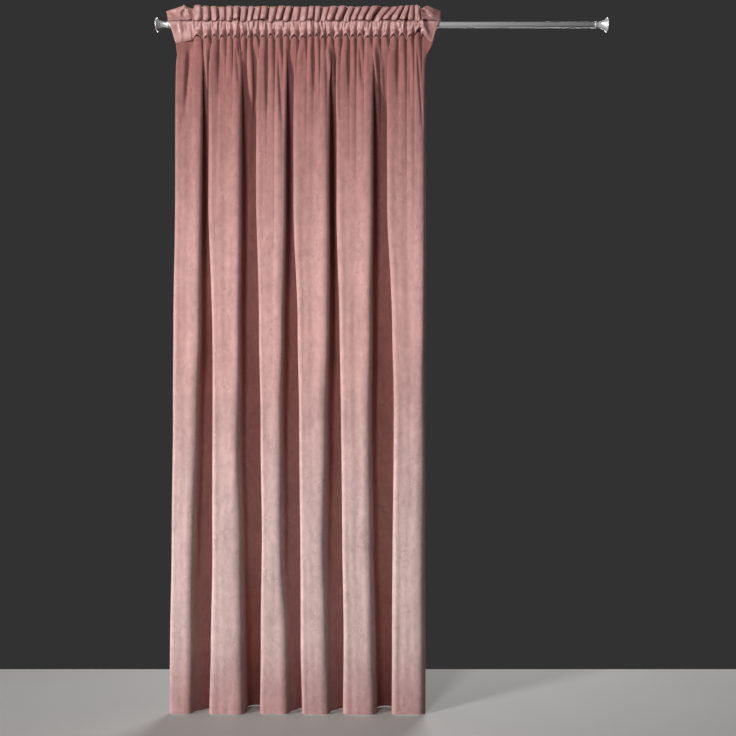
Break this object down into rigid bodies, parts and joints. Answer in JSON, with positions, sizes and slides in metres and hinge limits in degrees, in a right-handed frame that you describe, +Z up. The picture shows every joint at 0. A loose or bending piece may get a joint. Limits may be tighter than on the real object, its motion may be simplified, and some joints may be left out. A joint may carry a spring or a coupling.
{
  "type": "velvet curtain on a rod",
  "caption": "Long velvet curtain hanging in soft folds from a gathered rod-pocket heading with a ruffled frill, on a plain metal rod with flared finials.",
  "frame": {"origin": "on the rod's axis, in the middle of the rod tube's length", "axes": "+X along the rod, to the right of someone who faces the curtain; +Y back to the wall, so the curtain's front looks to -Y; +Z up"},
  "size_m": [1.73, 0.1076, 2.7076],
  "materials": {
    "velvet": "dusty rose pile velvet, matt with a pale sheen where the folds turn away",
    "heading_cloth": "dusty rose smooth cloth with a soft satin shine",
    "rod_metal": "satin silver",
    "finial_metal": "satin silver"
  },
  "bodies": {
    "root": {"velvet_panel": "velvet", "heading": "heading_cloth", "rod": "rod_metal", "finial_left": "finial_metal", "finial_right": "finial_metal"}
  },
  "joints": []
}
